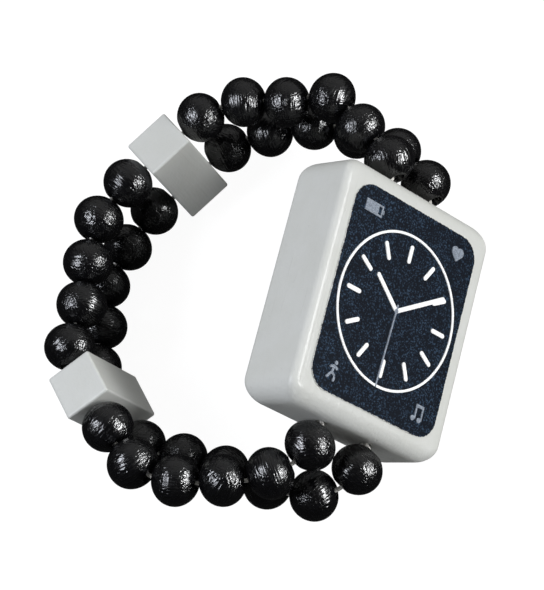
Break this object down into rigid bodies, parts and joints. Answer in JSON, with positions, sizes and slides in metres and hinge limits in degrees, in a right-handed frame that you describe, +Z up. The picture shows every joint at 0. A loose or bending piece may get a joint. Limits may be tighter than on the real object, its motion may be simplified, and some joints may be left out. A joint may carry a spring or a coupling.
{
  "type": "toy watch",
  "caption": "Wooden toy watch: a painted rectangular case with a printed analogue dial on a stretchy band of two rows of round beads with two spacer blocks",
  "frame": {"origin": "On the table plane, under the centre of the whole watch's bounding box in plan", "axes": "+Z up from the table the watch lies on, +Y towards the dial's 12 o'clock along the band loop's widest way, +X the way the leaning dial faces in plan"},
  "size_m": [0.0654, 0.0748, 0.0318],
  "materials": {
    "grey_paint": "wood under thin satin light grey paint",
    "black_lacquer": "turned wood, black stain and clear lacquer, fine grain showing in the gloss",
    "dark_ink": "printed ink, matt, very dark blue",
    "white_ink": "printed ink, matt white",
    "grey_ink": "thin printed ink, speckled blue grey",
    "elastic_cord": "off-white covered elastic thread"
  },
  "bodies": {
    "case": {"case_block": "grey_paint", "screen_print": "dark_ink", "white_print": "white_ink", "grey_print": "grey_ink", "elastic_knots": "elastic_cord", "elastic_case": "elastic_cord", "elastic_top_1": "elastic_cord", "elastic_bottom_6": "elastic_cord"},
    "far_band": {"first_spacer": "grey_paint", "second_spacer": "grey_paint", "elastic_far": "elastic_cord"},
    "top_band_2": {"elastic_top_2": "elastic_cord"},
    "top_band_3": {"elastic_top_3": "elastic_cord"},
    "top_band_4": {"elastic_top_4": "elastic_cord"},
    "top_band_5": {"elastic_top_5": "elastic_cord"},
    "top_band_6": {"elastic_top_6": "elastic_cord"},
    "bottom_band_1": {"elastic_bottom_1": "elastic_cord"},
    "bottom_band_2": {"elastic_bottom_2": "elastic_cord"},
    "bottom_band_3": {"elastic_bottom_3": "elastic_cord"},
    "bottom_band_4": {"elastic_bottom_4": "elastic_cord"},
    "bottom_band_5": {"elastic_bottom_5": "elastic_cord"},
    "upper_bead_1_turning": {"upper_bead_1": "black_lacquer"},
    "upper_bead_2_turning": {"upper_bead_2": "black_lacquer"},
    "upper_bead_3_turning": {"upper_bead_3": "black_lacquer"},
    "upper_bead_4_turning": {"upper_bead_4": "black_lacquer"},
    "upper_bead_5_turning": {"upper_bead_5": "black_lacquer"},
    "upper_bead_6_turning": {"upper_bead_6": "black_lacquer"},
    "upper_bead_7_turning": {"upper_bead_7": "black_lacquer"},
    "upper_bead_8_turning": {"upper_bead_8": "black_lacquer"},
    "upper_bead_9_turning": {"upper_bead_9": "black_lacquer"},
    "upper_bead_10_turning": {"upper_bead_10": "black_lacquer"},
    "upper_bead_11_turning": {"upper_bead_11": "black_lacquer"},
    "upper_bead_12_turning": {"upper_bead_12": "black_lacquer"},
    "upper_bead_13_turning": {"upper_bead_13": "black_lacquer"},
    "upper_bead_14_turning": {"upper_bead_14": "black_lacquer"},
    "upper_bead_15_turning": {"upper_bead_15": "black_lacquer"},
    "upper_bead_16_turning": {"upper_bead_16": "black_lacquer"},
    "upper_bead_17_turning": {"upper_bead_17": "black_lacquer"},
    "lower_bead_1_turning": {"lower_bead_1": "black_lacquer"},
    "lower_bead_2_turning": {"lower_bead_2": "black_lacquer"},
    "lower_bead_3_turning": {"lower_bead_3": "black_lacquer"},
    "lower_bead_4_turning": {"lower_bead_4": "black_lacquer"},
    "lower_bead_5_turning": {"lower_bead_5": "black_lacquer"},
    "lower_bead_6_turning": {"lower_bead_6": "black_lacquer"},
    "lower_bead_7_turning": {"lower_bead_7": "black_lacquer"},
    "lower_bead_8_turning": {"lower_bead_8": "black_lacquer"},
    "lower_bead_9_turning": {"lower_bead_9": "black_lacquer"},
    "lower_bead_10_turning": {"lower_bead_10": "black_lacquer"},
    "lower_bead_11_turning": {"lower_bead_11": "black_lacquer"},
    "lower_bead_12_turning": {"lower_bead_12": "black_lacquer"},
    "lower_bead_13_turning": {"lower_bead_13": "black_lacquer"},
    "lower_bead_14_turning": {"lower_bead_14": "black_lacquer"},
    "lower_bead_15_turning": {"lower_bead_15": "black_lacquer"},
    "lower_bead_16_turning": {"lower_bead_16": "black_lacquer"},
    "lower_bead_17_turning": {"lower_bead_17": "black_lacquer"}
  },
  "joints": [
    {"name": "band_stretch", "type": "slide", "parent": "case", "child": "far_band", "axis": [-1, 0, 0], "range_m": [0, 0.012], "stiffness_N_per_m": 150},
    {"name": "top_follow_2", "type": "slide", "parent": "case", "child": "top_band_2", "axis": [-1, 0, 0], "range_m": [0, 0.00073]},
    {"name": "top_follow_3", "type": "slide", "parent": "case", "child": "top_band_3", "axis": [-1, 0, 0], "range_m": [0, 0.0032]},
    {"name": "top_follow_4", "type": "slide", "parent": "case", "child": "top_band_4", "axis": [-1, 0, 0], "range_m": [0, 0.00696]},
    {"name": "top_follow_5", "type": "slide", "parent": "case", "child": "top_band_5", "axis": [-1, 0, 0], "range_m": [0, 0.0103]},
    {"name": "top_follow_6", "type": "slide", "parent": "case", "child": "top_band_6", "axis": [-1, 0, 0], "range_m": [0, 0.01191]},
    {"name": "bottom_follow_1", "type": "slide", "parent": "case", "child": "bottom_band_1", "axis": [-1, 0, 0], "range_m": [0, 0.01191]},
    {"name": "bottom_follow_2", "type": "slide", "parent": "case", "child": "bottom_band_2", "axis": [-1, 0, 0], "range_m": [0, 0.01022]},
    {"name": "bottom_follow_3", "type": "slide", "parent": "case", "child": "bottom_band_3", "axis": [-1, 0, 0], "range_m": [0, 0.00678]},
    {"name": "bottom_follow_4", "type": "slide", "parent": "case", "child": "bottom_band_4", "axis": [-1, 0, 0], "range_m": [0, 0.00317]},
    {"name": "bottom_follow_5", "type": "slide", "parent": "case", "child": "bottom_band_5", "axis": [-1, 0, 0], "range_m": [0, 0.00057]},
    {"name": "upper_bead_1_spin", "type": "hinge", "parent": "case", "child": "upper_bead_1_turning", "pos_m": [0.01596, 0.02453, 0.02046], "axis": [-0.56, 0.8277, -0.0375], "continuous": true},
    {"name": "upper_bead_2_spin", "type": "hinge", "parent": "top_band_2", "child": "upper_bead_2_turning", "pos_m": [0.01016, 0.02891, 0.02011], "axis": [-0.7968, 0.6007, -0.0654], "continuous": true},
    {"name": "upper_bead_3_spin", "type": "hinge", "parent": "top_band_3", "child": "upper_bead_3_turning", "pos_m": [0.00436, 0.03327, 0.0195], "axis": [-0.9776, 0.1838, -0.1022], "continuous": true},
    {"name": "upper_bead_4_spin", "type": "hinge", "parent": "top_band_4", "child": "upper_bead_4_turning", "pos_m": [-0.00284, 0.03135, 0.01875], "axis": [-0.9736, -0.2002, -0.1098], "continuous": true},
    {"name": "upper_bead_5_spin", "type": "hinge", "parent": "top_band_5", "child": "upper_bead_5_turning", "pos_m": [-0.00991, 0.03034, 0.0179], "axis": [-0.9373, -0.3252, -0.1251], "continuous": true},
    {"name": "upper_bead_6_spin", "type": "hinge", "parent": "top_band_6", "child": "upper_bead_6_turning", "pos_m": [-0.01625, 0.0267, 0.01696], "axis": [-0.7792, -0.6131, -0.1298], "continuous": true},
    {"name": "upper_bead_7_spin", "type": "hinge", "parent": "far_band", "child": "upper_bead_7_turning", "pos_m": [-0.02555, 0.01383, 0.01495], "axis": [-0.4752, -0.8762, -0.0804], "continuous": true},
    {"name": "upper_bead_8_spin", "type": "hinge", "parent": "far_band", "child": "upper_bead_8_turning", "pos_m": [-0.02865, 0.007, 0.01448], "axis": [-0.1915, -0.9809, -0.0335], "continuous": true},
    {"name": "upper_bead_9_spin", "type": "hinge", "parent": "far_band", "child": "upper_bead_9_turning", "pos_m": [-0.02836, -0.00054, 0.01446], "axis": [0.0921, -0.9955, 0.0237], "continuous": true},
    {"name": "upper_bead_10_spin", "type": "hinge", "parent": "far_band", "child": "upper_bead_10_turning", "pos_m": [-0.02729, -0.00772, 0.01483], "axis": [0.0926, -0.9931, 0.0723], "continuous": true},
    {"name": "upper_bead_11_spin", "type": "hinge", "parent": "far_band", "child": "upper_bead_11_turning", "pos_m": [-0.027, -0.01513, 0.01553], "axis": [0.2096, -0.9716, 0.1102], "continuous": true},
    {"name": "upper_bead_12_spin", "type": "hinge", "parent": "bottom_band_1", "child": "upper_bead_12_turning", "pos_m": [-0.0168, -0.02699, 0.01801], "axis": [0.7374, -0.6592, 0.1474], "continuous": true},
    {"name": "upper_bead_13_spin", "type": "hinge", "parent": "bottom_band_2", "child": "upper_bead_13_turning", "pos_m": [-0.01117, -0.03199, 0.01908], "axis": [0.8944, -0.4286, 0.1279], "continuous": true},
    {"name": "upper_bead_14_spin", "type": "hinge", "parent": "bottom_band_3", "child": "upper_bead_14_turning", "pos_m": [-0.00372, -0.03325, 0.01988], "axis": [0.996, 0.0167, 0.0874], "continuous": true},
    {"name": "upper_bead_15_spin", "type": "hinge", "parent": "bottom_band_4", "child": "upper_bead_15_turning", "pos_m": [0.00348, -0.03175, 0.02036], "axis": [0.9587, 0.281, 0.0449], "continuous": true},
    {"name": "upper_bead_16_spin", "type": "hinge", "parent": "bottom_band_5", "child": "upper_bead_16_turning", "pos_m": [0.01033, -0.02914, 0.02054], "axis": [0.8188, 0.5739, 0.0111], "continuous": true},
    {"name": "upper_bead_17_spin", "type": "hinge", "parent": "case", "child": "upper_bead_17_turning", "pos_m": [0.01517, -0.02355, 0.02052], "axis": [0.5102, 0.86, -0.004], "continuous": true},
    {"name": "lower_bead_1_spin", "type": "hinge", "parent": "case", "child": "lower_bead_1_turning", "pos_m": [0.02138, 0.02441, 0.01278], "axis": [-0.6111, 0.785, -0.1021], "continuous": true},
    {"name": "lower_bead_2_spin", "type": "hinge", "parent": "top_band_2", "child": "lower_bead_2_turning", "pos_m": [0.01544, 0.0291, 0.01185], "axis": [-0.8757, 0.463, -0.1369], "continuous": true},
    {"name": "lower_bead_3_spin", "type": "hinge", "parent": "top_band_3", "child": "lower_bead_3_turning", "pos_m": [0.0082, 0.03138, 0.01072], "axis": [-0.9702, 0.1869, -0.154], "continuous": true},
    {"name": "lower_bead_4_spin", "type": "hinge", "parent": "top_band_4", "child": "lower_bead_4_turning", "pos_m": [0.00064, 0.03195, 0.0095], "axis": [-0.9802, -0.1116, -0.1637], "continuous": true},
    {"name": "lower_bead_5_spin", "type": "hinge", "parent": "top_band_5", "child": "lower_bead_5_turning", "pos_m": [-0.00657, 0.0297, 0.00825], "axis": [-0.9055, -0.3919, -0.1629], "continuous": true},
    {"name": "lower_bead_6_spin", "type": "hinge", "parent": "top_band_6", "child": "lower_bead_6_turning", "pos_m": [-0.01299, 0.02605, 0.00705], "axis": [-0.7751, -0.6123, -0.1557], "continuous": true},
    {"name": "lower_bead_7_spin", "type": "hinge", "parent": "far_band", "child": "lower_bead_7_turning", "pos_m": [-0.02269, 0.01337, 0.00497], "axis": [-0.4872, -0.8674, -0.1007], "continuous": true},
    {"name": "lower_bead_8_spin", "type": "hinge", "parent": "far_band", "child": "lower_bead_8_turning", "pos_m": [-0.02547, 0.0065, 0.00431], "axis": [-0.3143, -0.9475, -0.0586], "continuous": true},
    {"name": "lower_bead_9_spin", "type": "hinge", "parent": "far_band", "child": "lower_bead_9_turning", "pos_m": [-0.02734, -0.00063, 0.0041], "axis": [-0.0244, -0.9996, 0.0149], "continuous": true},
    {"name": "lower_bead_10_spin", "type": "hinge", "parent": "far_band", "child": "lower_bead_10_turning", "pos_m": [-0.02581, -0.0077, 0.00452], "axis": [0.1912, -0.9768, 0.0962], "continuous": true},
    {"name": "lower_bead_11_spin", "type": "hinge", "parent": "far_band", "child": "lower_bead_11_turning", "pos_m": [-0.02454, -0.01495, 0.00551], "axis": [0.3861, -0.9104, 0.1488], "continuous": true},
    {"name": "lower_bead_12_spin", "type": "hinge", "parent": "bottom_band_1", "child": "lower_bead_12_turning", "pos_m": [-0.01329, -0.02642, 0.00808], "axis": [0.9302, -0.3359, 0.1478], "continuous": true},
    {"name": "lower_bead_13_spin", "type": "hinge", "parent": "bottom_band_2", "child": "lower_bead_13_turning", "pos_m": [-0.00586, -0.02733, 0.00913], "axis": [0.984, -0.1112, 0.1391], "continuous": true},
    {"name": "lower_bead_14_spin", "type": "hinge", "parent": "bottom_band_3", "child": "lower_bead_14_turning", "pos_m": [0.00137, -0.02807, 0.01015], "axis": [0.986, -0.0932, 0.1386], "continuous": true},
    {"name": "lower_bead_15_spin", "type": "hinge", "parent": "bottom_band_4", "child": "lower_bead_15_turning", "pos_m": [0.00857, -0.02869, 0.01116], "axis": [0.9888, -0.0713, 0.1308], "continuous": true},
    {"name": "lower_bead_16_spin", "type": "hinge", "parent": "bottom_band_5", "child": "lower_bead_16_turning", "pos_m": [0.01634, -0.02915, 0.01213], "axis": [0.9341, 0.3361, 0.1203], "continuous": true},
    {"name": "lower_bead_17_spin", "type": "hinge", "parent": "case", "child": "lower_bead_17_turning", "pos_m": [0.02193, -0.02389, 0.01288], "axis": [0.5273, 0.8462, 0.0765], "continuous": true}
  ],
  "couplings": [
    {"joint": "top_follow_2", "follows": "band_stretch", "ratio": 0.0598},
    {"joint": "top_follow_3", "follows": "band_stretch", "ratio": 0.2657},
    {"joint": "top_follow_4", "follows": "band_stretch", "ratio": 0.5795},
    {"joint": "top_follow_5", "follows": "band_stretch", "ratio": 0.8573},
    {"joint": "top_follow_6", "follows": "band_stretch", "ratio": 0.9918},
    {"joint": "bottom_follow_1", "follows": "band_stretch", "ratio": 0.9914},
    {"joint": "bottom_follow_2", "follows": "band_stretch", "ratio": 0.8507},
    {"joint": "bottom_follow_3", "follows": "band_stretch", "ratio": 0.5645},
    {"joint": "bottom_follow_4", "follows": "band_stretch", "ratio": 0.263},
    {"joint": "bottom_follow_5", "follows": "band_stretch", "ratio": 0.0466}
  ]
}
